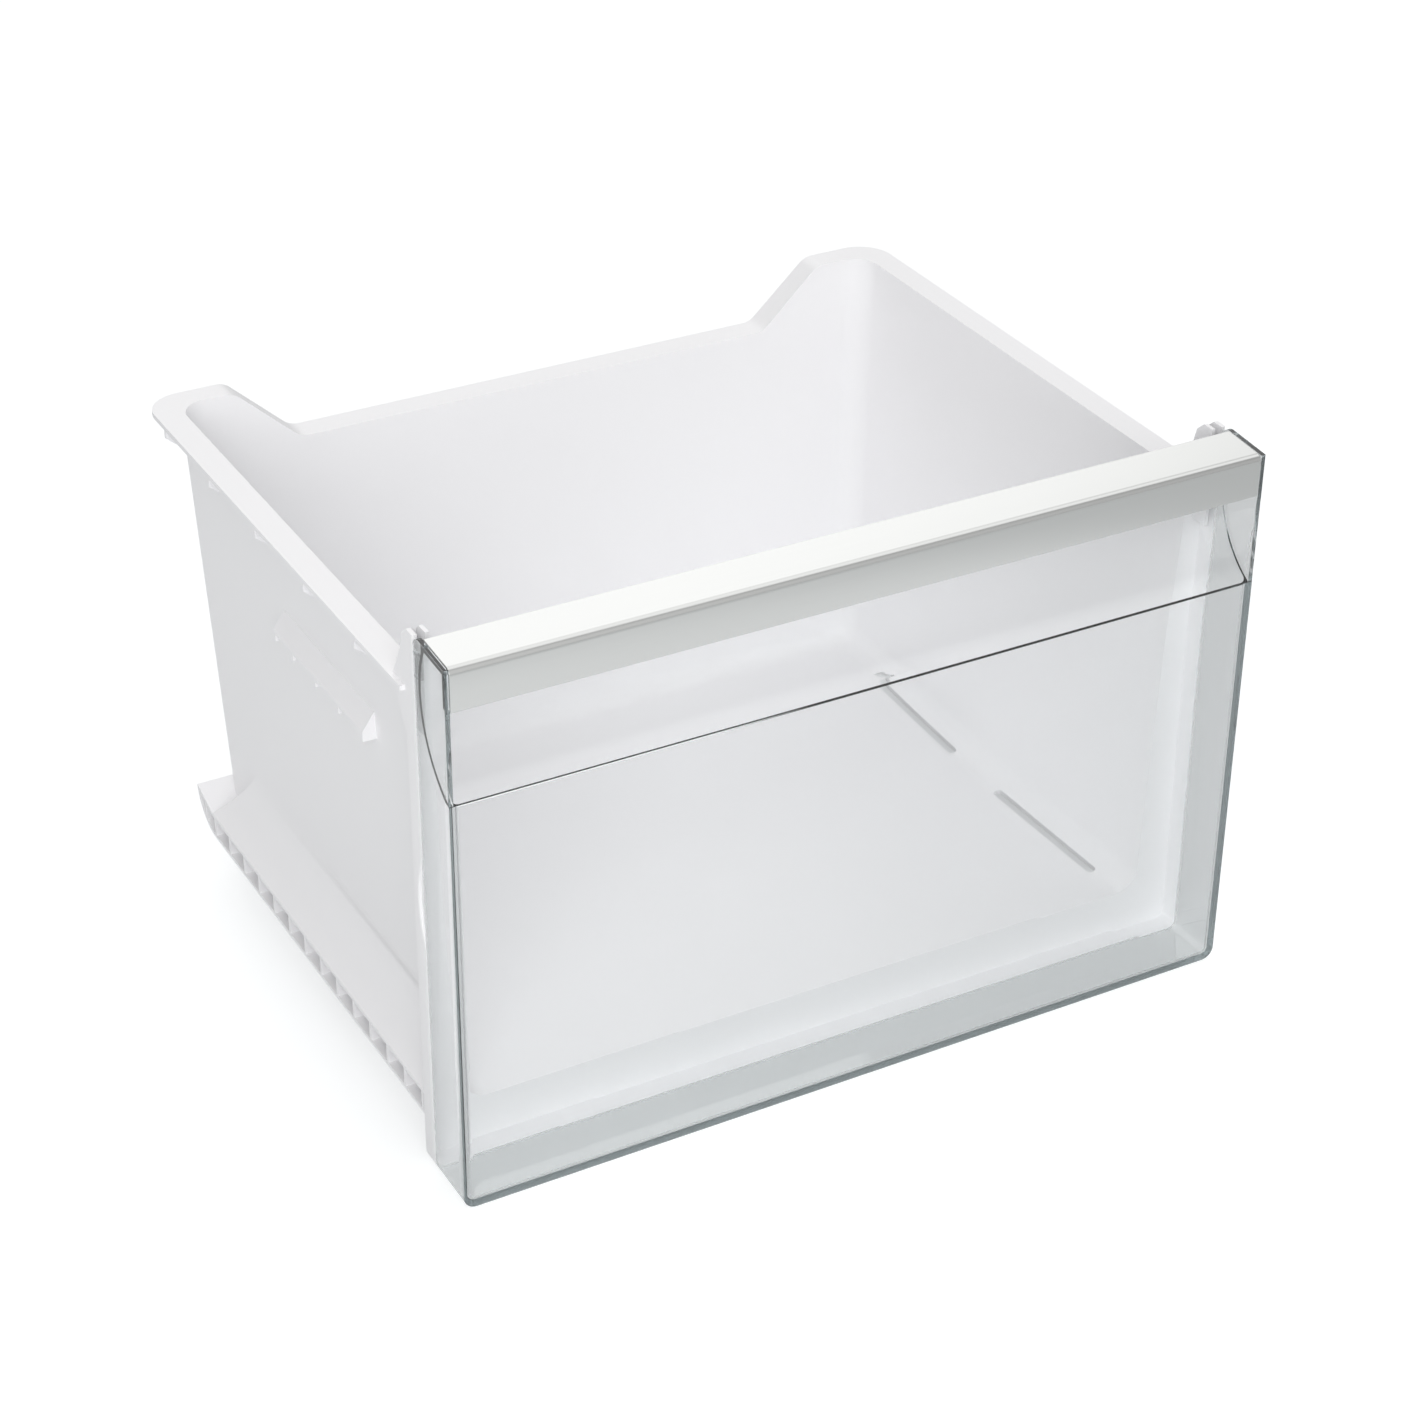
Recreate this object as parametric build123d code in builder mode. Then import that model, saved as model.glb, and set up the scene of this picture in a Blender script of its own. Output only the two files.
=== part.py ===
"""Freezer drawer: a white moulded tub, a clear clip-on front panel and a silver handle trim.

Millimetres. +Z is up, the front panel faces -Y, and the origin is the middle of the foot plane.
"""
import os
from math import cos, radians, sin, sqrt, tan

from build123d import *

# Overall sizes
panel_width = 455.0
panel_height = 312.0
drawer_depth = 383.5

# Tub walls, leaning in from the rim towards the floor
wall = 2.5
draft_angle = 2.4
rim_drop = 32.5
rim_overhang = 2.5
floor_height = 25.5
tub_corner = 17.5
floor_round = 16.0

# Rim flange and the dip in its rear run
flange_width = 12.5
flange_thickness = 2.8
flange_corner = 20.0
dip_depth = 34.0
dip_width = 292.0
ramp_run = 37.0
ramp_round = 12.0

# Gussets under the flange
gusset_thickness = 1.8
gusset_pitch = 62.6
gusset_rear_inset = 32.0
gusset_tip = 6.0
gusset_drop = 17.0
gusset_inset = 1.0
rear_gusset_pitch = 66.0

# Frame round the tub's front, flush with the panel
frame_depth = 13.6
frame_round = 3.0
frame_blend = 4.5
frame_lip = 1.0
joint_gap = 0.4
notch_chord = 50.0
notch_depth = 5.8
notch_height = 163.0
notch_round = 20.0
notch_bite = 1.5

# Posts at the two upper front corners
post_top_fall = 0.8
post_wall = 2.0
post_offset = 1.5
post_flat = 7.0
post_slope_fall = 4.8
post_heel_fall = 8.4
post_heel_run = 2.3
post_foot_run = 10.5
post_skirt = 24.0

# Ribbed runners along the foot of both sides
runner_inset = 4.3
runner_skin = 2.0
runner_cell = 10.7
runner_pitch = 21.65
runner_rib = 1.8
runner_flare = 40.0
flare_fade = 35.0
tip_inset = 25.25
tip_length = 25.5
tip_rise = 19.5
tip_land = 2.6
tip_ramp = 22.0
tip_rib_inset = 12.0

# Short support rails half way up both sides
rail_inset = 8.0
rail_height = 214.6
rail_lip = 5.6
rail_rise = 9.5
rail_skin = 1.8
rail_front = 113.5
rail_end_block = 7.5
rail_end_cell = 23.2
rail_mid_cell = 29.2
rail_rib = 1.8

# Drain slots where the floor turns up into the sides
slot_length = 93.0
slot_width = 5.5
slot_front = 69.0
slot_gap = 46.0
slot_tilt = 10.0

# Clear front panel
panel_wall = 2.5
panel_depth = 33.5
panel_corner = 7.0
panel_edge_round = 0.4
tray_round = 3.5
grip_height = 74.7
grip_radius = 54.2
grip_lead = 26.3
cap_setback = 4.5
cap_step = 1.6
cap_rear_land = 0.1

# Snap tongues of the panel and the catches that they engage
tongue_width = 12.0
tongue_rise = 16.0
tongue_reach = 10.0
tongue_root = 3.0
tongue_thickness = 2.0
tongue_tip = 1.6
window_length = 2.8
window_width = 6.0
tongue_clearance = 0.3
catch_proud = 1.5

# Silver handle trim over the panel's upper edge
trim_thickness = 1.3
trim_depth = 27.5
trim_front_drop = 24.8
trim_crown = 2.0
trim_nose = 4.0
trim_hook = 2.6
trim_end_gap = 0.2
trim_seat_gap = 0.1
carrier_thickness = 2.2

# Places worked out from those sizes
rim_width = panel_width + 2 * rim_overhang
rim_height = panel_height - rim_drop
lean_rate = tan(radians(draft_angle))
front = -drawer_depth / 2
rear = drawer_depth / 2
tub_half = rim_width / 2 - flange_width
tub_rear = rear - flange_width
panel_half = panel_width / 2
panel_back = front + panel_depth
frame_front = panel_back + joint_gap
frame_rear = frame_front + frame_depth
web_front = frame_rear - wall
dip_height = rim_height - dip_depth
flange_under = rim_height - flange_thickness
floor_top = floor_height + wall
beyond = 40.0


def tub_lean(height):
    """How far the tub's outer faces stand in from their place at the rim."""
    return (rim_height - height) * lean_rate


def tub_plan(foot, inset, mouth):
    """Plan of the tub, drawn at its foot with the size it has at the rim, before its walls are drafted."""
    back = tub_rear - inset
    with BuildSketch(Plane.XY.offset(foot)) as plan:
        with Locations((0, (back + mouth) / 2)):
            Rectangle(2 * (tub_half - inset), back - mouth)
    return plan.sketch


# Room inside the tub, run out through the mouth and up past the rim
rim_plane = Plane.XY.offset(rim_height)
with BuildPart() as tub_room:
    extrude(tub_plan(floor_top, wall, frame_front - beyond), amount=rim_height + beyond - floor_top)
    room_walls = tub_room.faces().filter_by(Axis.Z, reverse=True).sort_by(Axis.Y)[1:]
    draft(room_walls, rim_plane, -draft_angle)
    room_uprights = tub_room.edges().filter_by(lambda e: abs(e.tangent_at(0.5).Z) > 0.9)
    fillet(room_uprights.filter_by(lambda e: e.center().Y > 0), tub_corner - wall)
    foot_ring = tub_room.edges().group_by(Axis.Z)[0]
    room_foot = foot_ring.filter_by(lambda e: e.center().Y > frame_front - beyond / 2)
    fillet(room_foot, floor_round - wall)

# Outline of the rim seen from the front: level over the sides, dipped between two ramps at the rear
with BuildSketch(Plane.XZ.offset(-rear)) as rim_outline:
    with BuildLine():
        Polyline(
            (-rim_width, floor_height - beyond),
            (-rim_width, rim_height),
            (-dip_width / 2 - ramp_run, rim_height),
            (-dip_width / 2, dip_height),
            (dip_width / 2, dip_height),
            (dip_width / 2 + ramp_run, rim_height),
            (rim_width, rim_height),
            (rim_width, floor_height - beyond),
            close=True,
        )
    make_face()
    ramp_ends = rim_outline.vertices().filter_by(lambda v: abs(v.X) < rim_width - 1)
    fillet(ramp_ends, ramp_round)

# Flange that follows that outline, trimmed to the rim's plan
with BuildPart() as rim:
    with BuildSketch(Plane.XZ.offset(-rear)) as sheet:
        add(rim_outline.sketch)
        offset(rim_outline.sketch, amount=-flange_thickness, mode=Mode.SUBTRACT)
        with Locations((0, rim_height)):
            Rectangle(rim_width, 2 * (dip_depth + 2 * flange_thickness), mode=Mode.INTERSECT)
    extrude(amount=rear - web_front)
    with BuildSketch(Plane.XY.offset(floor_height)) as rim_plan:
        with Locations((0, (web_front + rear) / 2)):
            Rectangle(rim_width, rear - web_front)
        fillet(rim_plan.vertices().group_by(Axis.Y)[-1], flange_corner)
    extrude(amount=rim_height, mode=Mode.INTERSECT)

# Right-hand runner: an outward channel with ribs, its rear end turned up like a ski tip
runner_edge = rim_width / 2 - runner_inset
runner_inner = tub_half - tub_lean(floor_height) - floor_round
cell_foot = floor_height + runner_skin
ledge = cell_foot + runner_cell + runner_skin
rib_start = frame_rear + runner_skin + runner_rib
tip_end = rear - tip_inset
runner_ribs = round((tip_end - tip_length - rib_start) / runner_pitch) + 1
flare_top = ledge + runner_flare
with BuildPart() as runner:
    with BuildSketch(Plane.YZ.offset(runner_inner)) as runner_side:
        with BuildLine():
            foot = Line((web_front, floor_height), (tip_end - tip_length, floor_height))
            Line(foot @ 0, (web_front, ledge))
            tip = TangentArc(foot @ 1, (tip_end, floor_height + tip_rise), tangent=(1, 0))
            Polyline(
                tip @ 1,
                (tip_end, floor_height + tip_rise + tip_land),
                (tip_end - tip_ramp, ledge),
                (web_front, ledge),
            )
        make_face()
    extrude(amount=runner_edge - runner_inner)
    with BuildSketch(Plane.YZ.offset(runner_inner)):
        offset(runner_side.sketch_local, amount=-runner_skin)
    extrude(amount=runner_edge - runner_inner, mode=Mode.SUBTRACT)
    with BuildSketch(Plane.YZ.offset(runner_inner)):
        with Locations((rib_start + (runner_ribs - 1) * runner_pitch / 2, floor_height)):
            with GridLocations(runner_pitch, 0, runner_ribs, 1):
                Rectangle(runner_rib, 4 * ledge)
        with Locations((tip_end - tip_rib_inset, floor_height)):
            Rectangle(runner_rib, 4 * ledge)
        add(runner_side.sketch_local, mode=Mode.INTERSECT)
    extrude(amount=runner_edge - runner_inner)
    with BuildSketch(Plane.XZ.offset(-web_front)) as flare:
        flare_wall = tub_half - tub_lean(flare_top)
        with BuildLine():
            sweep_out = TangentArc((flare_wall, flare_top), (runner_edge, ledge), tangent=(-lean_rate, -1))
            Polyline(
                sweep_out @ 1,
                (runner_edge, ledge - runner_skin),
                (runner_inner, ledge - runner_skin),
                (runner_inner, flare_top),
                sweep_out @ 0,
            )
        make_face()
    extrude(amount=-(tip_end - tip_ramp - web_front))
    with BuildSketch(Plane.YZ) as fade:
        with BuildLine():
            Polyline(
                (tip_end - tip_ramp, ledge),
                (tip_end - tip_ramp, flare_top + wall),
                (tip_end - tip_ramp - flare_fade, flare_top + wall),
                close=True,
            )
        make_face()
    extrude(amount=rim_width, mode=Mode.SUBTRACT)

# Right-hand support rail: a wedge with four open cells under its lip
rail_edge = rim_width / 2 - rail_inset
rail_start = front + rail_front
rail_cells = rail_start + rail_end_block
rail_length = rail_end_block + 2 * (rail_end_cell + rail_mid_cell) + rail_rib
rail_root = tub_half - tub_lean(rail_height - rail_lip) - wall / 2
rail_face = tub_half - tub_lean(rail_height - rail_lip)
with BuildPart() as rail:
    with BuildSketch(Plane.XZ.offset(-rail_start)):
        with BuildLine():
            Polyline(
                (rail_root, rail_height + rail_rise),
                (rail_face + rail_skin / 2, rail_height + rail_rise),
                (rail_edge, rail_height),
                (rail_edge, rail_height - rail_lip),
                (rail_root, rail_height - rail_lip),
                close=True,
            )
        make_face()
    extrude(amount=-rail_length)
    cell_y = rail_cells
    for cell in (rail_end_cell, rail_mid_cell, rail_mid_cell, rail_end_cell):
        with BuildSketch(Plane.XY.offset(rail_height - rail_skin)):
            with Locations((rail_edge, cell_y + cell / 2)):
                Rectangle(2 * (rail_edge - rail_face), cell - rail_rib)
        extrude(amount=-rail_lip, mode=Mode.SUBTRACT)
        cell_y += cell

# Gussets under the right-hand flange
gusset_room = rear - gusset_rear_inset - frame_rear - post_foot_run
gusset_count = int(gusset_room / gusset_pitch) + 1
with BuildPart() as gussets:
    with BuildSketch(Plane.XZ.offset(-(rear - gusset_rear_inset))) as gusset:
        gusset_root = tub_half - tub_lean(flange_under - gusset_drop) - wall / 2
        with BuildLine():
            Polyline(
                (gusset_root, flange_under),
                (rim_width / 2 - gusset_inset, flange_under),
                (rim_width / 2 - gusset_inset, flange_under - gusset_tip),
                (gusset_root, flange_under - gusset_drop),
                close=True,
            )
        make_face()
    for row in range(gusset_count):
        extrude(
            gusset.sketch.moved(Location((0, -row * gusset_pitch, 0))),
            amount=gusset_thickness / 2,
            both=True,
        )

# Gussets under the rear flange, spread along the dip
rear_gusset_count = int(dip_width / rear_gusset_pitch)
with BuildPart() as rear_gussets:
    with BuildSketch(Plane.YZ) as rear_gusset:
        rear_drop = dip_height - flange_thickness
        rear_root = tub_rear - tub_lean(rear_drop - gusset_drop) - wall / 2
        with BuildLine():
            Polyline(
                (rear_root, rear_drop),
                (rear - gusset_inset, rear_drop),
                (rear - gusset_inset, rear_drop - gusset_tip),
                (rear_root, rear_drop - gusset_drop),
                close=True,
            )
        make_face()
    for column in range(rear_gusset_count):
        across = (column - (rear_gusset_count - 1) / 2) * rear_gusset_pitch
        extrude(rear_gusset.sketch.moved(Location((across, 0, 0))), amount=gusset_thickness / 2, both=True)

# Right-hand post: a hollow upright with a leaning back, open at its top and front
post_top = panel_height - post_top_fall
post_shoulder = post_top - post_slope_fall
post_inner = tub_half + post_offset
with BuildPart() as post:
    with BuildSketch(Plane.YZ.offset(post_inner)):
        with BuildLine():
            Polyline(
                (frame_front, rim_height - post_skirt),
                (frame_front, post_top),
                (frame_front + post_flat, post_top),
                (frame_rear - wall / 2, post_shoulder),
                (frame_rear - wall / 2 + post_heel_run, post_shoulder - post_heel_fall),
                (frame_rear + post_foot_run, rim_height),
                (frame_rear + post_foot_run, flange_under),
                (frame_rear, rim_height - post_skirt),
                close=True,
            )
        make_face()
    extrude(amount=panel_half - post_inner)
    with BuildSketch(Plane.YZ.offset(post_inner + post_wall)):
        with BuildLine():
            Polyline(
                (frame_front - beyond, rim_height - beyond),
                (frame_front - beyond, panel_height + beyond),
                (frame_rear - 1.5 * wall, panel_height + beyond),
                (frame_rear - 1.5 * wall, post_shoulder),
                (frame_rear - 1.5 * wall + post_heel_run, post_shoulder - post_heel_fall),
                (frame_rear + post_foot_run - 1.5 * wall, rim_height),
                (web_front, rim_height),
                (web_front, rim_height - beyond),
                close=True,
            )
        make_face()
    extrude(amount=panel_half - wall - post_inner - post_wall, mode=Mode.SUBTRACT)


def frame_outline(inset, top):
    """Front view of the frame and of the panel: a plain rectangle with its two lower corners round."""
    with BuildSketch(Plane.XZ) as outline:
        with Locations((0, (inset + top) / 2)):
            Rectangle(panel_width - 2 * inset, top - inset)
        fillet(outline.vertices().group_by(Axis.Y)[0], panel_corner - inset)
    return outline.sketch


# Panel tongue, drawn lying on the foot plane: its root on the panel's cap, its tip inside the post
tongue_low = wall + tongue_clearance
window_back = panel_back + tongue_reach - tongue_tip
with BuildPart() as tongue:
    with BuildSketch(Plane.YZ):
        with BuildLine():
            Polyline(
                (panel_back - tongue_root, panel_wall / 2),
                (panel_back, panel_wall / 2),
                (panel_back, tongue_low),
                (panel_back + tongue_reach, tongue_low),
                (panel_back + tongue_reach, tongue_low + tongue_thickness),
                (panel_back - tongue_root, tongue_low + tongue_thickness),
                close=True,
            )
        make_face()
    extrude(amount=tongue_width / 2, both=True)
    with BuildSketch(Plane.XY.offset(wall)):
        with Locations((0, window_back - window_length / 2)):
            Rectangle(window_width, window_length)
    extrude(amount=2 * tongue_thickness, mode=Mode.SUBTRACT)

# Catch on the post that stands in the tongue's window, ramped towards the front
with BuildPart() as catch:
    with BuildSketch(Plane.YZ):
        with BuildLine():
            Polyline(
                (window_back - window_length + tongue_clearance, wall / 2),
                (window_back - window_length + tongue_clearance, wall),
                (window_back - tongue_clearance, wall + catch_proud),
                (window_back - tongue_clearance, wall / 2),
                close=True,
            )
        make_face()
    extrude(amount=window_width / 2 - tongue_clearance, both=True)

# Where the tongues and catches sit: one at each side, up behind the trim, turned up against the post
tongue_height = rim_height + tongue_rise
tongue_places = [
    Location((panel_half, 0, tongue_height), (0, -90, 0)),
    Location((-panel_half, 0, tongue_height), (0, 90, 0)),
]



def on_lip(edge):
    """Whether an edge runs along the frame's outer front edge, round the notches too."""
    box = edge.bounding_box()
    at_front = box.max.Y < frame_front + notch_depth + 0.01
    at_side = box.size.X < 0.01 and abs(box.max.X) > panel_half - 0.01
    at_foot = box.min.Z < 0.01 and box.size.Y < 0.01
    return at_front and (at_side or at_foot)


# White tub, moulded in one with its frame, posts, flange, runners and rails
notch_radius = (notch_chord**2 / 4 + notch_depth**2) / (2 * notch_depth)
slot_turn = floor_round - wall
slot_lean = radians(slot_tilt)
slot_side = tub_half - wall - tub_lean(floor_top + slot_turn) - slot_turn * (1 - sin(slot_lean))
slot_rise = floor_top + slot_turn * (1 - cos(slot_lean))
with BuildPart() as drawer_body:
    extrude(tub_plan(floor_height, 0, web_front), amount=rim_height - floor_height)
    tub_walls = drawer_body.faces().filter_by(Axis.Z, reverse=True).sort_by(Axis.Y)[1:]
    draft(tub_walls, rim_plane, -draft_angle)
    upright_edges = drawer_body.edges().filter_by(lambda e: abs(e.tangent_at(0.5).Z) > 0.9)
    fillet(upright_edges.filter_by(lambda e: e.center().Y > 0), tub_corner)
    foot_edges = drawer_body.edges().group_by(Axis.Z)[0].filter_by(lambda e: e.center().Y > web_front + 1)
    fillet(foot_edges, floor_round)
    extrude(rim_outline.sketch, amount=drawer_depth, mode=Mode.INTERSECT)
    extrude(frame_outline(0, rim_height).moved(Location((0, frame_rear, 0))), amount=frame_depth)
    back_edges = drawer_body.edges().filter_by(
        lambda e: abs(e.center().Y - frame_rear) < 0.01 and e.bounding_box().size.Y < 0.01
    )
    low_edges = back_edges.filter_by(lambda e: e.center().Z < rim_height - 1)
    skirt_edges = low_edges.filter_by(
        lambda e: abs(e.center().X) > panel_half - panel_corner or e.center().Z < panel_corner
    )
    fillet(skirt_edges, frame_round)
    blend_edges = drawer_body.edges().filter_by(
        lambda e: abs(e.center().Y - frame_rear) < 0.01
        and e.bounding_box().size.Y < 0.01
        and abs(e.center().X) < tub_half
        and floor_height - 1 < e.center().Z < dip_height - 1
    )
    fillet(blend_edges, frame_blend)
    with BuildSketch(Plane.XZ.offset(-web_front)):
        add(frame_outline(wall, panel_height + beyond))
    extrude(amount=frame_depth, mode=Mode.SUBTRACT)
    add(rim.part)
    for piece in (runner, rail, gussets, post):
        add(piece.part)
        add(piece.part.mirror(Plane.YZ))
    add(rear_gussets.part)
    add(tub_room.part, mode=Mode.SUBTRACT)
    for side in (1, -1):
        with BuildSketch(Plane.YZ.offset(side * panel_half)):
            with Locations((frame_front + notch_depth - notch_radius, notch_height)):
                Circle(notch_radius)
        extrude(amount=notch_bite, both=True, mode=Mode.SUBTRACT)
    notch_ends = drawer_body.edges().filter_by(Axis.X).filter_by(
        lambda e: abs(e.center().Y - frame_front) < 0.01
        and abs(abs(e.center().Z - notch_height) - notch_chord / 2) < 0.1
    )
    fillet(notch_ends, notch_round)
    fillet(drawer_body.edges().filter_by(on_lip), frame_lip)
    for side in (1, -1):
        slot_plane = Plane(
            origin=(side * slot_side, front + slot_front + slot_length + slot_gap / 2, slot_rise),
            x_dir=(0, 1, 0),
            z_dir=(-side * sin(slot_lean), 0, cos(slot_lean)),
        )
        with BuildSketch(slot_plane):
            with GridLocations(slot_length + slot_gap, 0, 2, 1):
                SlotOverall(slot_length, slot_width)
        extrude(amount=2 * wall, both=True, mode=Mode.SUBTRACT)
    with Locations(*tongue_places):
        add(catch.part)

# Section of the handle trim's outer face, and of the room under it
trim_foot = panel_height - trim_front_drop
with BuildSketch(Plane.YZ) as trim_block:
    with BuildLine():
        Polyline(
            (front + trim_depth, panel_height),
            (front, panel_height - trim_crown),
            (front, trim_foot),
            (front + trim_depth, trim_foot),
            close=True,
        )
    make_face()
    nose = trim_block.vertices().filter_by(lambda v: v.X < front + 1).sort_by(Axis.Y)[-1]
    fillet(nose, trim_nose)

# Room inside the clear panel's tray, and the heights of the grip above it
plate_height = panel_height - grip_height
grip_y = front - grip_lead
grip_z = plate_height + sqrt(grip_radius**2 - grip_lead**2)
seat = trim_thickness + trim_seat_gap
carrier_face = seat + carrier_thickness
with BuildPart() as panel_room:
    with BuildSketch(Plane.XZ.offset(-panel_back)):
        add(frame_outline(panel_wall, panel_height + beyond))
    extrude(amount=panel_depth - panel_wall)
    room_edges = panel_room.faces().sort_by(Axis.Y)[0].edges()
    fillet(room_edges.filter_by(lambda e: e.center().Z < panel_height), tray_round)

# Clear front panel: a shallow tray whose upper front turns back in an arc to leave room for the fingers
with BuildPart() as front_panel:
    extrude(frame_outline(0, panel_height).moved(Location((0, panel_back, 0))), amount=panel_depth)
    face_edges = front_panel.faces().sort_by(Axis.Y)[0].edges()
    fillet(face_edges.filter_by(lambda e: e.center().Z < panel_height - 1), panel_edge_round)
    add(panel_room.part, mode=Mode.SUBTRACT)
    with BuildSketch(Plane.XZ.offset(-front - panel_wall - tray_round)):
        with Locations((0, plate_height)):
            Rectangle(panel_width - 2 * panel_wall, panel_height, align=(Align.CENTER, Align.MIN))
    extrude(amount=2 * panel_wall + tray_round, mode=Mode.SUBTRACT)
    with BuildSketch(Plane.YZ) as cap_side:
        with BuildLine():
            Polyline(
                (front, 0),
                (front, plate_height),
                (front + cap_setback, plate_height + cap_step),
                (front, trim_foot),
                (front, panel_height - trim_crown),
                (front + trim_depth, panel_height),
                (panel_back, panel_height),
                (panel_back, 0),
                close=True,
            )
        make_face()
        cap_heel = cap_side.vertices().group_by(Axis.Y)[-1].sort_by(Axis.X)[-1]
        fillet(cap_heel, panel_depth - trim_depth - cap_rear_land)
    extrude(amount=panel_half, both=True, mode=Mode.INTERSECT)
    with BuildSketch(Plane.YZ):
        with Locations((grip_y, grip_z)):
            Circle(grip_radius + panel_wall)
            Circle(grip_radius, mode=Mode.SUBTRACT)
        with Locations((front, plate_height - 2 * panel_wall)):
            Rectangle(
                panel_depth,
                panel_height - seat - carrier_thickness / 2 - plate_height + 2 * panel_wall,
                align=(Align.MIN, Align.MIN),
                mode=Mode.INTERSECT,
            )
    extrude(amount=panel_half - panel_wall / 2, both=True)
    with BuildSketch(Plane.YZ):
        offset(trim_block.sketch_local, amount=-seat)
        offset(trim_block.sketch_local, amount=-carrier_face, mode=Mode.SUBTRACT)
        with Locations((front + carrier_face, panel_height - trim_crown - carrier_face)):
            Rectangle(trim_depth, trim_front_drop, align=(Align.MIN, Align.MAX), mode=Mode.SUBTRACT)
    extrude(amount=panel_half - panel_wall / 2, both=True)
    with Locations(*tongue_places):
        add(tongue.part)

# Silver handle trim: a thin folded strip that hooks round the panel's upper edge
with BuildPart() as handle_trim:
    with BuildSketch(Plane.YZ):
        add(trim_block.sketch_local)
        offset(trim_block.sketch_local, amount=-trim_thickness, mode=Mode.SUBTRACT)
        with Locations((front + trim_hook, panel_height - trim_hook)):
            Rectangle(trim_depth, trim_front_drop, align=(Align.MIN, Align.MAX), mode=Mode.SUBTRACT)
    extrude(amount=panel_half - panel_wall - trim_end_gap, both=True)

drawer_body.part.label = "drawer_body"
front_panel.part.label = "front_panel"
handle_trim.part.label = "handle_trim"

os.makedirs("parts", exist_ok=True)
export_step(drawer_body.part, "parts/drawer_body.step")
export_step(front_panel.part, "parts/front_panel.step")
export_step(handle_trim.part, "parts/handle_trim.step")
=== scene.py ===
"""Finished look of a freezer drawer, laid out as an add-on and run as a script.

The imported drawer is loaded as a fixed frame, in metres. Each moulding is a welded copy of its node
with its own plastic or metal, standing on a pale studio floor. Two details are worked on these
copies: the panel's end caps are filled to stand upright, and the trim's sharp edges are rounded.
"""
from math import radians

import bmesh
import bpy
import numpy as np
from bpy.props import FloatProperty, FloatVectorProperty, IntProperty, PointerProperty
from bpy.types import Operator, Panel, PropertyGroup
from mathutils import Matrix, Vector


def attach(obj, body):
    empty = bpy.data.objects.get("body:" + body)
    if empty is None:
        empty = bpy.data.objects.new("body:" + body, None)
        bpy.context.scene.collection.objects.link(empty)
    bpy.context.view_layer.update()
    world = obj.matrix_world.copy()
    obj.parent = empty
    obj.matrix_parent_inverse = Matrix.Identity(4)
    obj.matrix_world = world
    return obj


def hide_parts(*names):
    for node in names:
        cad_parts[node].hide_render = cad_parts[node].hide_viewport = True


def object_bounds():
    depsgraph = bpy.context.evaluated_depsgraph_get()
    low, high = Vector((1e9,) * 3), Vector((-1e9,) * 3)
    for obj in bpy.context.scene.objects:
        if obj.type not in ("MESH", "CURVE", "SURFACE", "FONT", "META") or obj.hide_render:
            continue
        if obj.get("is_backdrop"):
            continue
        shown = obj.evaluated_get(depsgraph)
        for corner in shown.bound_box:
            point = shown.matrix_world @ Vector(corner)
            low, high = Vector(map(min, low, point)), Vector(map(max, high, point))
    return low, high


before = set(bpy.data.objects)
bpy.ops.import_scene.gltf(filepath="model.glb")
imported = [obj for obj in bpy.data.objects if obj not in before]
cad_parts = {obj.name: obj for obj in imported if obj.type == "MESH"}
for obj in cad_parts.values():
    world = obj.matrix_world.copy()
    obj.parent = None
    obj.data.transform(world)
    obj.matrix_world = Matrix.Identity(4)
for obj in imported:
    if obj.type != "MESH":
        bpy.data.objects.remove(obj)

bl_info = {
    "name": "Freezer Drawer",
    "version": (1, 0, 0),
    "blender": (4, 5, 0),
    "location": "View3D > Sidebar > Freezer Drawer",
    "description": "Builds the finished look of a freezer drawer on its packed frame",
    "category": "Add Mesh",
}

WELD_PITCH = 1e-6  # metres, pitch of the lattice on which corners are welded
FLAT_TURN = radians(0.25)  # triangles that turn by less lie in one plane
CREASE_TURN = radians(28)  # edges that turn by more stay sharp
ROUND_TURN = radians(35)  # edges that turn by more are rounded on the trim
ROUND_STEPS = 2  # facets across a rounded edge
# Painted light on the floor under the drawer, filling its shadow where glass shows it, fades out
# between these shares
SHADOW_FILL_EDGE = (0.98, 1.04)  # shares of the drawer's half size between which its footprint fades
PATCH_CORE = 0.98  # cosine, from a light patch's middle, within which it has its full light
SENSOR_WIDTH = 36.0  # millimetres
LOOK_LEVEL = radians(90)  # turn that brings a camera from looking down to looking level
WHITE = (1, 1, 1, 1)

# Places of a Mix node's sockets, whose names repeat for each kind of data
MIX_SHARE = 0
MIX_NUMBER_A, MIX_NUMBER_B, MIX_NUMBER_OUT = 2, 3, 0
MIX_COLOUR_A, MIX_COLOUR_B, MIX_COLOUR_OUT = 6, 7, 2


class DrawerBodySettings(PropertyGroup):
    """Finish of the white moulded tub."""

    colour: FloatVectorProperty(
        name="Colour", description="White of the moulded tub", subtype="COLOR", size=3,
        min=0, max=1, default=(0.945, 0.94, 0.952),
    )
    roughness: FloatProperty(
        name="Roughness", description="How satin the tub is", subtype="FACTOR",
        min=0, max=1, default=0.36,
    )
    grain: FloatProperty(
        name="Grain Depth", description="Depth of the fine moulded grain", unit="LENGTH",
        min=0, default=0.00002,
    )
    bending: FloatProperty(
        name="Refractive Index", description="Index of the white plastic",
        min=1, max=2, default=1.49,
    )


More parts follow.
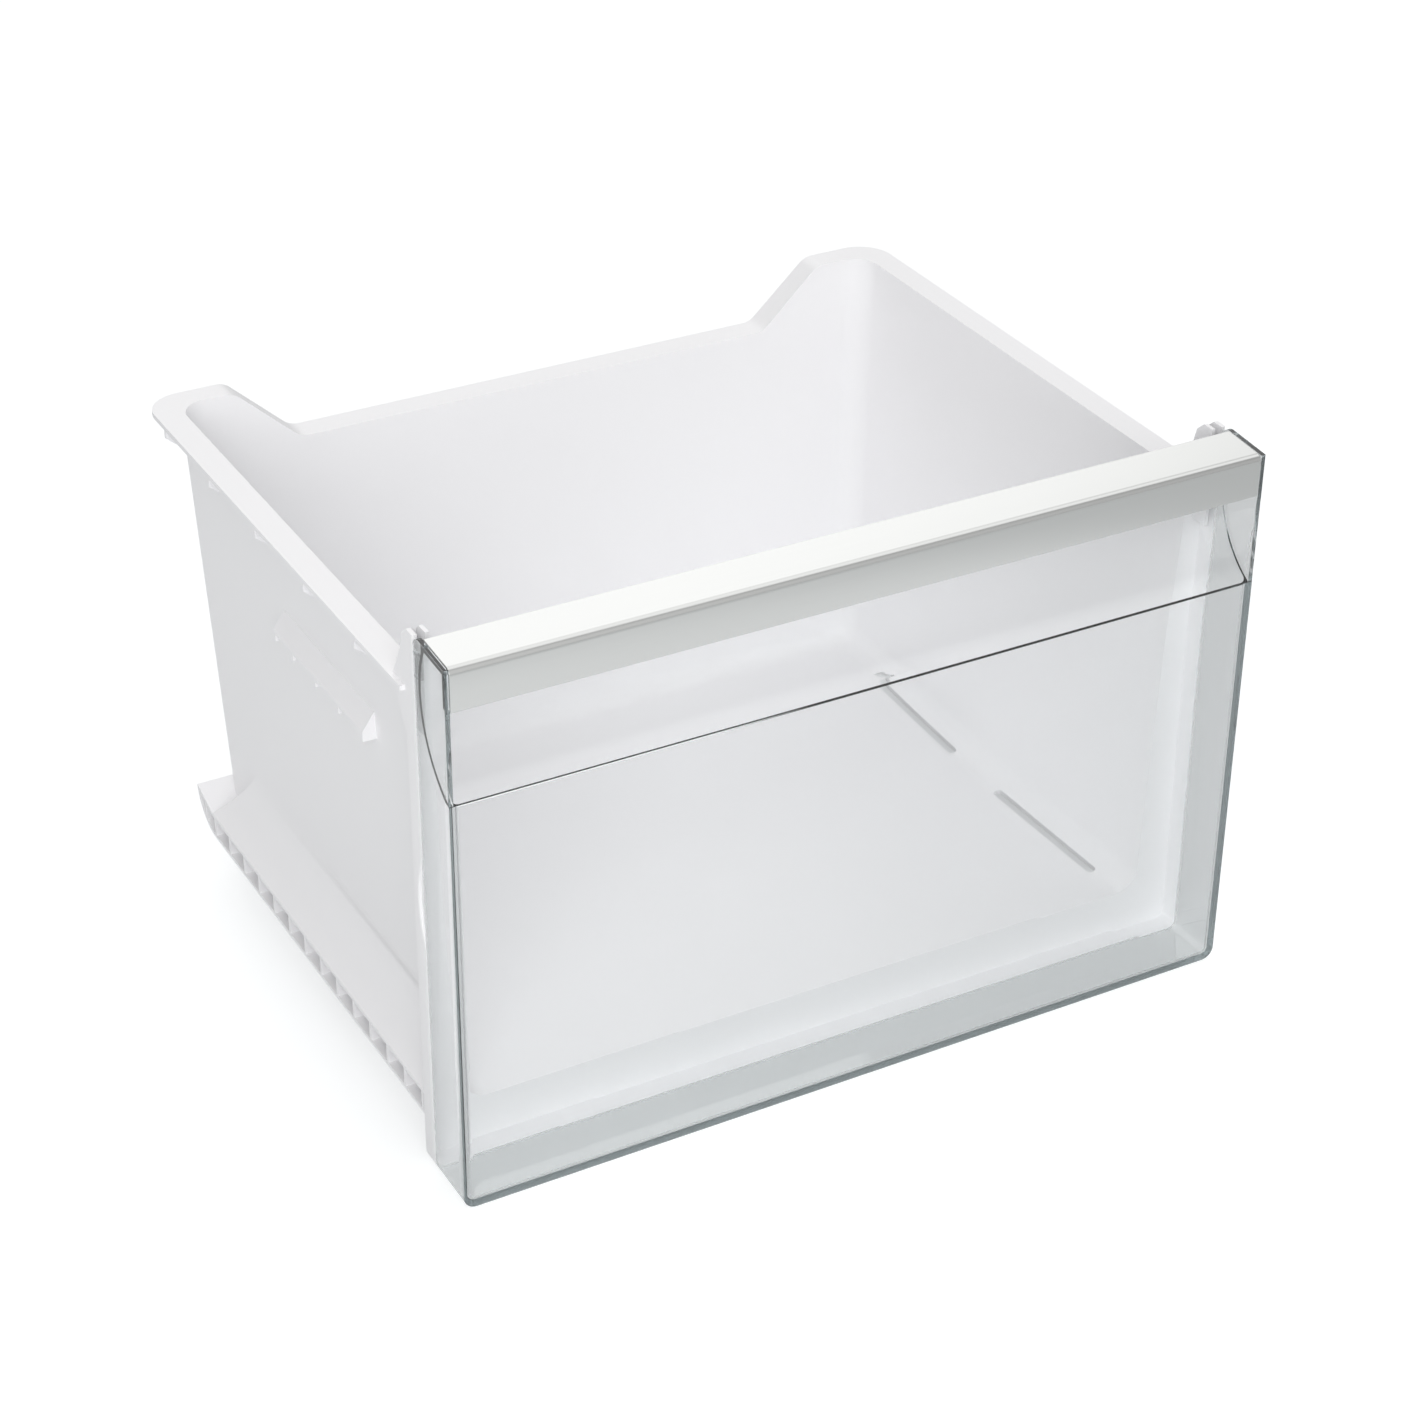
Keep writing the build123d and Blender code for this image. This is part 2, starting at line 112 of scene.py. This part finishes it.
class FrontPanelSettings(PropertyGroup):
    """Finish of the clear front panel, and the shape of its end caps."""

    tint: FloatVectorProperty(
        name="Tint", description="Colour that the clear plastic lets through", subtype="COLOR",
        size=3, min=0, max=1, default=(0.395, 0.465, 0.475),
    )
    depth_of_tint: FloatProperty(
        name="Depth of Tint", description="Absorption per metre of plastic", min=0, default=48.0,
    )
    lamp_tint: FloatVectorProperty(
        name="Lamp Tint", description="Colour of the lamps' light behind one face of the plastic",
        subtype="COLOR", size=3, min=0, max=1, default=(0.985, 0.99, 0.99),
    )
    bending: FloatProperty(
        name="Refractive Index", description="Index of the clear plastic",
        min=1, max=2, default=1.585,
    )
    wall: FloatProperty(
        name="Wall", description="Thickness of the panel's end caps", unit="LENGTH",
        min=0, default=0.0025,
    )
    cap_foot: FloatProperty(
        name="Cap Foot", description="Height where the end caps rise from the plate",
        unit="LENGTH", default=0.2373,
    )
    cap_lean: FloatProperty(
        name="Cap Lean", description="How far the frame's end caps stand back at their foot",
        unit="LENGTH", default=0.0045,
    )
    cap_step: FloatProperty(
        name="Cap Step", description="Height over the foot at which they stand back that far",
        unit="LENGTH", default=0.0016,
    )
    cap_set: FloatProperty(
        name="Cap Set-Back", description="How far they are left behind the plate's face",
        unit="LENGTH", default=0.0004,
    )


class HandleTrimSettings(PropertyGroup):
    """Finish of the silver handle trim."""

    colour: FloatVectorProperty(
        name="Colour", description="Silver of the trim", subtype="COLOR", size=3,
        min=0, max=1, default=(0.66, 0.665, 0.655),
    )
    roughness: FloatProperty(
        name="Roughness", description="How satin the trim is", subtype="FACTOR",
        min=0, max=1, default=0.2,
    )
    grain: FloatProperty(
        name="Grain Depth", description="Depth of the fine drawn grain", unit="LENGTH",
        min=0, default=0.000004,
    )
    edge_round: FloatProperty(
        name="Edge Radius", description="Rounding of the trim's sharp edges", unit="LENGTH",
        min=0, default=0.0003,
    )


class StudioSettings(PropertyGroup):
    """Floor, light and camera."""

    floor_half: FloatProperty(
        name="Floor Half Width", description="Half the floor's width", unit="LENGTH",
        min=1, default=9.0,
    )
    floor_gap: FloatProperty(
        name="Floor Gap",
        description="Hair's breadth that keeps the floor clear of the panel's foot",
        unit="LENGTH", min=0, default=0.0005,
    )
    floor_colour: FloatVectorProperty(
        name="Floor Colour", description="Pale floor", subtype="COLOR", size=3,
        min=0, max=1, default=(0.605, 0.62, 0.627),
    )
    lift_seen: FloatProperty(
        name="Lift Seen", description="White added where the eye sees the floor",
        min=0, default=0.56,
    )
    lift_through: FloatProperty(
        name="Lift Through Glass", description="White added where glass shows the floor",
        min=0, default=0.1,
    )
    # Painted light: a glow on the floor under the drawer that fills the drawer's shadow where glass
    # shows it
    shadow_fill_under: FloatProperty(
        name="Lift Under", description="White added where glass shows the floor under the drawer",
        min=0, default=0.25,
    )
    lift_mirrored: FloatProperty(
        name="Lift in Metal", description="White added where metal mirrors the floor",
        min=0, default=0.4,
    )
    lift_beyond: FloatProperty(
        name="Lift Beyond", description="Share of the white in metal left beyond the sweep",
        subtype="FACTOR", min=0, max=1, default=0.22,
    )
    sweep_inner: FloatProperty(
        name="Sweep Inner Radius", description="Where the white sweep starts to fade",
        unit="LENGTH", default=0.75,
    )
    sweep_outer: FloatProperty(
        name="Sweep Outer Radius", description="Where the white sweep ends",
        unit="LENGTH", default=0.805,
    )
    sky: FloatProperty(
        name="Sky Strength", description="Even light from all round", min=0, default=0.41,
    )
    back_glow: FloatProperty(
        name="Back Glow", description="Light of the patch at the back", min=0, default=1.06,
    )
    back_rim: FloatProperty(
        name="Back Rim", description="Cosine at which the patch at the back ends", default=0.82,
    )
    back_towards: FloatVectorProperty(
        name="Back Towards", description="Where the patch at the back stands",
        subtype="DIRECTION", size=3, default=(0.25, 0.75, 0.6),
    )
    top_glow: FloatProperty(
        name="Top Glow", description="Light of the patch overhead", min=0, default=0.85,
    )
    top_rim: FloatProperty(
        name="Top Rim", description="Cosine at which the patch overhead ends", default=0.88,
    )
    top_towards: FloatVectorProperty(
        name="Top Towards", description="Where the patch overhead stands",
        subtype="DIRECTION", size=3, default=(0.41, 0.0, 0.91),
    )
    front_glow: FloatProperty(
        name="Front Glow", description="Light of the wide front", min=0, default=0.54,
    )
    front_rim: FloatProperty(
        name="Front Rim", description="Cosine at which the wide front ends", default=0.3,
    )
    front_towards: FloatVectorProperty(
        name="Front Towards", description="Where the wide front stands",
        subtype="DIRECTION", size=3, default=(-0.35, -0.85, 0.35),
    )
    key: FloatProperty(
        name="Key Power", description="Power of the front softbox", unit="POWER", default=22.5,
    )
    key_size: FloatProperty(
        name="Key Size", description="Side of the square softbox", unit="LENGTH", default=1.6,
    )
    key_place: FloatVectorProperty(
        name="Key Place", description="Where the softbox stands", subtype="TRANSLATION",
        size=3, default=(-1.2, -2.0, 1.3),
    )
    key_aim: FloatVectorProperty(
        name="Key Aim", description="Point that the softbox faces", subtype="TRANSLATION",
        size=3, default=(0.0, 0.0, 0.15),
    )
    bounces: IntProperty(
        name="Bounces", description="How often light is followed along the clear plastic's walls",
        min=0, default=18,
    )
    lens: FloatProperty(
        name="Lens", description="Focal length on a 36 mm wide sensor", default=83.81,
    )
    camera_place: FloatVectorProperty(
        name="Camera Place", description="Where the camera stands", subtype="TRANSLATION",
        size=3, default=(-0.73223, -1.34347, 1.05459),
    )
    camera_turn: FloatVectorProperty(
        name="Camera Turn", description="Compass turn, tip and roll of the camera",
        subtype="EULER", size=3, default=(radians(-28.93), radians(-31.23), radians(0.456)),
    )


class DrawerSettings(PropertyGroup):
    """All settings of the freezer drawer."""

    body: PointerProperty(type=DrawerBodySettings)
    panel: PointerProperty(type=FrontPanelSettings)
    trim: PointerProperty(type=HandleTrimSettings)
    studio: PointerProperty(type=StudioSettings)


def placed(name, data):
    """A new object in the scene, at the origin."""
    made = bpy.data.objects.new(name, data)
    bpy.context.scene.collection.objects.link(made)
    return made


def smooth(mesh):
    """Shades a mesh smooth, apart from its creases."""
    mesh.shade_smooth()
    mesh.set_sharp_from_angle(angle=CREASE_TURN)


def corners_of(node_name):
    """The vertices of a node, one per row."""
    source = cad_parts[node_name].data
    place = np.empty(3 * len(source.vertices), np.float32)
    source.vertices.foreach_get("co", place)
    return place.reshape(-1, 3)


def welded_copy(node_name, piece_name):
    """A copy of a node's loose triangles as one skin.

    Corners are rounded to a fine lattice, and corners on the same lattice point become one vertex.
    Triangles with two corners in one are left out, those in one plane are dissolved into one face,
    and edges sharper than the crease stay sharp.
    """
    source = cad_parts[node_name].data
    place = corners_of(node_name)
    corner = np.empty(len(source.loops), np.int32)
    source.loops.foreach_get("vertex_index", corner)
    lattice = np.round(place.astype(float) / WELD_PITCH).astype(np.int64)
    _, first, joined = np.unique(lattice, axis=0, return_index=True, return_inverse=True)
    triangle = joined.reshape(-1)[corner].reshape(-1, 3)
    whole = (triangle != np.roll(triangle, 1, axis=1)).all(axis=1)
    mesh = bpy.data.meshes.new(piece_name)
    mesh.from_pydata(place[first].tolist(), [], triangle[whole].tolist())
    skin = bmesh.new()
    skin.from_mesh(mesh)
    bmesh.ops.dissolve_limit(skin, angle_limit=FLAT_TURN, verts=skin.verts, edges=skin.edges)
    skin.to_mesh(mesh)
    skin.free()
    smooth(mesh)
    piece = placed(piece_name, mesh)
    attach(piece, "root")
    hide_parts(node_name)
    return piece


def cap_wedges(settings):
    """Two prisms that fill the gap between the end caps' leaning fronts and the plate's face.

    The outline lies in y and z: inside the plate from face to heel, up into the cap, forward to
    where the cap leans back most, and up its leaning front to where that meets the new front.
    It is carried along x from one side of the wall to the other, on the left and on the right.
    """
    panel = corners_of("front_panel")
    outer = panel[:, 0].max()
    front = panel[:, 1].min()
    trim_foot = corners_of("handle_trim")[:, 2].min()
    face = front + settings.cap_set
    lean = front + settings.cap_lean
    heel = lean + settings.wall
    base = settings.cap_foot - settings.wall
    step = settings.cap_foot + settings.cap_step
    share = settings.cap_set / settings.cap_lean
    meet = trim_foot + share * (step - trim_foot)
    outline = np.array([(face, base), (heel, base), (heel, step), (lean, step), (face, meet)])
    inner = outer - settings.wall
    sections = np.array([-outer, -inner, inner, outer])
    count = len(outline)
    points = np.column_stack([np.repeat(sections, count), np.tile(outline, (len(sections), 1))])
    faces = []
    for first in (0, 2 * count):
        near = first + np.arange(count)
        far = near + count
        faces += np.column_stack([near, np.roll(near, -1), np.roll(far, -1), far]).tolist()
        faces += [near[::-1].tolist(), far.tolist()]
    mesh = bpy.data.meshes.new("cap_wedges")
    mesh.from_pydata(points.tolist(), [], faces)
    return mesh


def straighten_caps(piece, settings):
    """Joins the wedges to the panel, so that its end caps stand upright over the plate."""
    wedges = placed("cap_wedges", cap_wedges(settings))
    union = piece.modifiers.new("union", "BOOLEAN")
    union.operation = "UNION"
    union.solver = "EXACT"
    union.object = wedges
    whole = piece.evaluated_get(bpy.context.evaluated_depsgraph_get())
    piece.data = bpy.data.meshes.new_from_object(whole)
    piece.modifiers.clear()
    smooth(piece.data)
    bpy.data.objects.remove(wedges)


def soften_edges(piece, radius):
    """Rounds every sharp edge of a piece."""
    soft = piece.modifiers.new("soft_edges", "BEVEL")
    soft.width = radius
    soft.segments = ROUND_STEPS
    soft.limit_method = "ANGLE"
    soft.angle_limit = ROUND_TURN
    soft.use_clamp_overlap = False
    soft.harden_normals = True


class Finish:
    """The node tree of a material or sky, with short calls to add nodes and join them."""

    def __init__(self, owner):
        self.owner = owner
        owner.use_nodes = True
        self.tree = owner.node_tree
        self.tree.nodes.clear()

    def put(self, value, socket):
        """Joins another node's socket to this one, or sets this one to a value."""
        if isinstance(value, bpy.types.NodeSocket):
            self.tree.links.new(value, socket)
        else:
            socket.default_value = value

    def node(self, kind, **sockets):
        """A new node, with its sockets given by name and underscores for the spaces there."""
        made = self.tree.nodes.new(kind)
        for name, value in sockets.items():
            self.put(value, made.inputs[name.replace("_", " ")])
        return made

    def row(self, kind, *values):
        """A new node, with its sockets given in order."""
        made = self.tree.nodes.new(kind)
        for value, socket in zip(values, made.inputs):
            self.put(value, socket)
        return made

    def maths(self, operation, *values):
        """One step of arithmetic on numbers or sockets."""
        step = self.row("ShaderNodeMath", *values)
        step.operation = operation
        return step.outputs[0]

    def measure(self, operation, *values):
        """A number worked out from vectors."""
        step = self.row("ShaderNodeVectorMath", *values)
        step.operation = operation
        return step.outputs["Value"]

    def span(self, value, low, high, start=0.0, end=1.0, fade="LINEAR"):
        """The value from start to end brought to low to high."""
        step = self.node(
            "ShaderNodeMapRange",
            Value=value, From_Min=start, From_Max=end, To_Min=low, To_Max=high,
        )
        step.interpolation_type = fade
        return step.outputs[0]

    def noise(self, scale, detail, stretch=(1, 1, 1)):
        """Noise on the piece's own coordinates, stretched along its axes."""
        place = self.node("ShaderNodeTexCoord").outputs["Object"]
        shift = self.node("ShaderNodeMapping", Vector=place, Scale=stretch).outputs[0]
        return self.node("ShaderNodeTexNoise", Vector=shift, Scale=scale, Detail=detail).outputs[0]

    def tone(self, value, colour, dark, light):
        """The colour, from dark times to light times itself."""
        mix = self.node("ShaderNodeMix")
        mix.data_type = "RGBA"
        self.put(value, mix.inputs[MIX_SHARE])
        self.put((*(Vector(colour) * dark), 1), mix.inputs[MIX_COLOUR_A])
        self.put((*(Vector(colour) * light), 1), mix.inputs[MIX_COLOUR_B])
        return mix.outputs[MIX_COLOUR_OUT]

    def about(self, value, middle, spread):
        """The value 0 to 1 brought to the middle, give or take the spread."""
        return self.span(value, middle - spread, middle + spread)

    def relief(self, value, depth):
        """A bump of the given depth in metres."""
        return self.node("ShaderNodeBump", Height=value, Distance=depth, Strength=1.0).outputs[0]

    def close(self, **sockets):
        """Joins the surface, and the inside if there is one, to the output."""
        self.node("ShaderNodeOutputMaterial", **sockets)
        return self.owner


def white_plastic(settings):
    """Satin white plastic with a fine moulded grain and a faint flow mottle."""
    finish = Finish(bpy.data.materials.new("white_plastic"))
    mottle = finish.noise(scale=7.0, detail=3.0)
    grain = finish.noise(scale=2600.0, detail=1.0)
    shader = finish.node(
        "ShaderNodeBsdfPrincipled",
        Base_Color=finish.tone(mottle, settings.colour, dark=0.985, light=1.01),
        Roughness=finish.about(mottle, settings.roughness, spread=0.04),
        Normal=finish.relief(grain, settings.grain),
        IOR=settings.bending,
    )
    return finish.close(Surface=shader.outputs[0])


def clear_plastic(settings):
    """Clear plastic that lets lamps through and takes a blue-green tint over long paths."""
    finish = Finish(bpy.data.materials.new("clear_plastic"))
    flow = finish.noise(scale=9.0, detail=2.0, stretch=(0.35, 1, 1))
    shader = finish.node(
        "ShaderNodeBsdfPrincipled",
        Base_Color=WHITE,
        Roughness=finish.span(flow, low=0.0, high=0.02),
        IOR=settings.bending,
        Transmission_Weight=1.0,
    )
    open_to_lamps = finish.node("ShaderNodeBsdfTransparent", Color=(*settings.lamp_tint, 1))
    path = finish.node("ShaderNodeLightPath").outputs
    both = finish.row(
        "ShaderNodeMixShader", path["Is Shadow Ray"], shader.outputs[0], open_to_lamps.outputs[0],
    )
    inside = finish.node(
        "ShaderNodeVolumeAbsorption", Color=(*settings.tint, 1), Density=settings.depth_of_tint,
    )
    return finish.close(Surface=both.outputs[0], Volume=inside.outputs[0])


def satin_silver(settings):
    """Silver strip with a fine drawn grain along its length."""
    finish = Finish(bpy.data.materials.new("satin_silver"))
    drawn = finish.noise(scale=700.0, detail=2.0, stretch=(0.02, 1, 1))
    cloud = finish.noise(scale=14.0, detail=2.0, stretch=(0.3, 1, 1))
    shader = finish.node(
        "ShaderNodeBsdfPrincipled",
        Base_Color=finish.tone(drawn, settings.colour, dark=0.985, light=1.015),
        Metallic=1.0,
        Roughness=finish.about(cloud, settings.roughness, spread=0.03),
        Normal=finish.relief(drawn, settings.grain),
    )
    return finish.close(Surface=shader.outputs[0])


def pale_floor(settings):
    """Pale floor that takes the drawer's shadow and shows white to the eye.

    Metal sees it white up to the edge of a round sweep, and glass sees it lifted, more so under the
    drawer: where x and y, as shares of the drawer's half sizes, are both below one. That extra glow
    under the drawer is painted light that fills the drawer's shadow where glass shows the floor.
    """
    finish = Finish(bpy.data.materials.new("pale_floor"))
    path = finish.node("ShaderNodeLightPath").outputs
    place = finish.node("ShaderNodeTexCoord").outputs["Object"]
    sweep = finish.span(
        finish.measure("LENGTH", place), low=1.0, high=settings.lift_beyond,
        start=settings.sweep_inner, end=settings.sweep_outer, fade="SMOOTHSTEP",
    )
    half = np.abs(np.array(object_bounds())).max(axis=0)
    foot = finish.node("ShaderNodeSeparateXYZ", Vector=place).outputs
    across = finish.maths("DIVIDE", finish.maths("ABSOLUTE", foot["X"]), half[0])
    along = finish.maths("DIVIDE", finish.maths("ABSOLUTE", foot["Y"]), half[1])
    edge_start, edge_end = SHADOW_FILL_EDGE
    # Painted light: through glass, the floor under the drawer glows more and fills the drawer's
    # shadow; outside the footprint glass sees the even lift of the backdrop
    glass_lift_and_shadow_fill = finish.span(
        finish.maths("MAXIMUM", across, along), low=settings.shadow_fill_under,
        high=settings.lift_through, start=edge_start, end=edge_end,
    )
    through = finish.maths("MULTIPLY", path["Is Transmission Ray"], glass_lift_and_shadow_fill)
    mirrored = finish.maths("SUBTRACT", path["Is Glossy Ray"], path["Is Transmission Ray"])
    in_metal = finish.maths("MULTIPLY", finish.maths("MAXIMUM", mirrored, 0.0), sweep)
    lift = finish.maths("MULTIPLY", path["Is Camera Ray"], settings.lift_seen)
    lift = finish.maths("ADD", through, lift)
    lift = finish.maths("MULTIPLY_ADD", in_metal, settings.lift_mirrored, lift)
    glow = finish.node("ShaderNodeEmission", Color=WHITE, Strength=lift)
    lit = finish.node("ShaderNodeBsdfDiffuse", Color=(*settings.floor_colour, 1))
    both = finish.row("ShaderNodeAddShader", lit.outputs[0], glow.outputs[0])
    return finish.close(Surface=both.outputs[0])


def studio_sky(settings):
    """Even light from all round, brighter in front, overhead and in a patch high at the back.

    A patch's light follows the cosine of the angle from its middle, from none at its rim to all of
    it at its core. The eye sees plain white.
    """
    finish = Finish(bpy.data.worlds.new("studio_sky"))
    path = finish.node("ShaderNodeLightPath").outputs
    facing = finish.node("ShaderNodeTexCoord").outputs["Generated"]
    level = settings.sky
    for towards, rim, glow in (
        (settings.back_towards, settings.back_rim, settings.back_glow),
        (settings.top_towards, settings.top_rim, settings.top_glow),
        (settings.front_towards, settings.front_rim, settings.front_glow),
    ):
        near = finish.measure("DOT_PRODUCT", facing, Vector(towards).normalized())
        patch = finish.span(
            near, low=0.0, high=glow, start=rim, end=PATCH_CORE, fade="SMOOTHSTEP",
        )
        level = finish.maths("ADD", patch, level)
    seen = finish.node("ShaderNodeMix")
    finish.put(path["Is Camera Ray"], seen.inputs[MIX_SHARE])
    finish.put(level, seen.inputs[MIX_NUMBER_A])
    finish.put(1.0, seen.inputs[MIX_NUMBER_B])
    light = finish.node(
        "ShaderNodeBackground", Color=WHITE, Strength=seen.outputs[MIX_NUMBER_OUT],
    )
    finish.node("ShaderNodeOutputWorld", Surface=light.outputs[0])
    bpy.context.scene.world = finish.owner


def studio_floor(settings):
    """A square floor, a hair's breadth below the drawer."""
    corners = np.array([[-1, -1, 0], [1, -1, 0], [1, 1, 0], [-1, 1, 0]]) * settings.floor_half
    mesh = bpy.data.meshes.new("studio_floor")
    mesh.from_pydata((corners - (0, 0, settings.floor_gap)).tolist(), [], [(0, 1, 2, 3)])
    mesh.materials.append(pale_floor(settings))
    floor = placed("studio_floor", mesh)
    floor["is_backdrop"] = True


def key_softbox(settings):
    """A square lamp that looks from its place at the aim point."""
    lamp = bpy.data.lights.new("key_softbox", "AREA")
    lamp.shape = "SQUARE"
    lamp.size = settings.key_size
    lamp.energy = settings.key
    box = placed("key_softbox", lamp)
    box.location = settings.key_place
    facing = Vector(settings.key_aim) - Vector(settings.key_place)
    box.rotation_euler = facing.to_track_quat("-Z", "Y").to_euler()


def photo_camera(settings):
    """The photograph's camera, rolled, tipped from level and turned about the compass."""
    turn, tip, roll = settings.camera_turn
    facing = (
        Matrix.Rotation(turn, 4, "Z")
        @ Matrix.Rotation(LOOK_LEVEL + tip, 4, "X")
        @ Matrix.Rotation(roll, 4, "Z")
    )
    lens = bpy.data.cameras.new("photo_camera")
    lens.sensor_width = SENSOR_WIDTH
    lens.lens = settings.lens
    camera = placed("photo_camera", lens)
    camera.matrix_world = Matrix.Translation(settings.camera_place) @ facing
    return camera


class DRAWER_OT_body(Operator):
    """White tub, moulded in one with its frame, posts, runners and rails"""

    bl_idname = "drawer.body"
    bl_label = "Drawer Body"

    def execute(self, context):
        settings = context.scene.freezer_drawer.body
        piece = welded_copy("drawer_body", "white_tub")
        piece.data.materials.append(white_plastic(settings))
        return {"FINISHED"}


class DRAWER_OT_panel(Operator):
    """Clear front panel with its arched grip wall, end caps and snap tongues"""

    bl_idname = "drawer.panel"
    bl_label = "Front Panel"

    def execute(self, context):
        settings = context.scene.freezer_drawer.panel
        piece = welded_copy("front_panel", "clear_panel")
        straighten_caps(piece, settings)
        piece.data.materials.append(clear_plastic(settings))
        return {"FINISHED"}


class DRAWER_OT_trim(Operator):
    """Silver strip hooked over the panel's upper edge"""

    bl_idname = "drawer.trim"
    bl_label = "Handle Trim"

    def execute(self, context):
        settings = context.scene.freezer_drawer.trim
        piece = welded_copy("handle_trim", "silver_trim")
        soften_edges(piece, settings.edge_round)
        piece.data.materials.append(satin_silver(settings))
        return {"FINISHED"}


class DRAWER_OT_studio(Operator):
    """Pale floor, soft light and the camera"""

    bl_idname = "drawer.studio"
    bl_label = "Studio"

    def execute(self, context):
        settings = context.scene.freezer_drawer.studio
        studio_floor(settings)
        studio_sky(settings)
        key_softbox(settings)
        context.scene.camera = photo_camera(settings)
        context.scene.view_settings.view_transform = "Standard"
        context.scene.cycles.max_bounces = settings.bounces
        context.scene.cycles.glossy_bounces = settings.bounces
        context.scene.cycles.transmission_bounces = settings.bounces
        return {"FINISHED"}


class DRAWER_PT_sidebar(Panel):
    """Settings and steps of the freezer drawer"""

    bl_idname = "DRAWER_PT_sidebar"
    bl_label = "Freezer Drawer"
    bl_space_type = "VIEW_3D"
    bl_region_type = "UI"
    bl_category = "Freezer Drawer"

    def draw(self, context):
        settings = context.scene.freezer_drawer
        for operator, group in (
            ("drawer.body", settings.body),
            ("drawer.panel", settings.panel),
            ("drawer.trim", settings.trim),
            ("drawer.studio", settings.studio),
        ):
            column = self.layout.column(align=True)
            column.operator(operator)
            for name in group.__annotations__:
                column.prop(group, name)


classes = (
    DrawerBodySettings,
    FrontPanelSettings,
    HandleTrimSettings,
    StudioSettings,
    DrawerSettings,
    DRAWER_OT_body,
    DRAWER_OT_panel,
    DRAWER_OT_trim,
    DRAWER_OT_studio,
    DRAWER_PT_sidebar,
)


def register():
    for kind in classes:
        bpy.utils.register_class(kind)
    bpy.types.Scene.freezer_drawer = PointerProperty(type=DrawerSettings)


def unregister():
    del bpy.types.Scene.freezer_drawer
    for kind in reversed(classes):
        bpy.utils.unregister_class(kind)


def main():
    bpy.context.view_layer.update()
    register()
    bpy.ops.drawer.body()
    bpy.ops.drawer.panel()
    bpy.ops.drawer.trim()
    bpy.ops.drawer.studio()


if __name__ == "__main__":
    main()
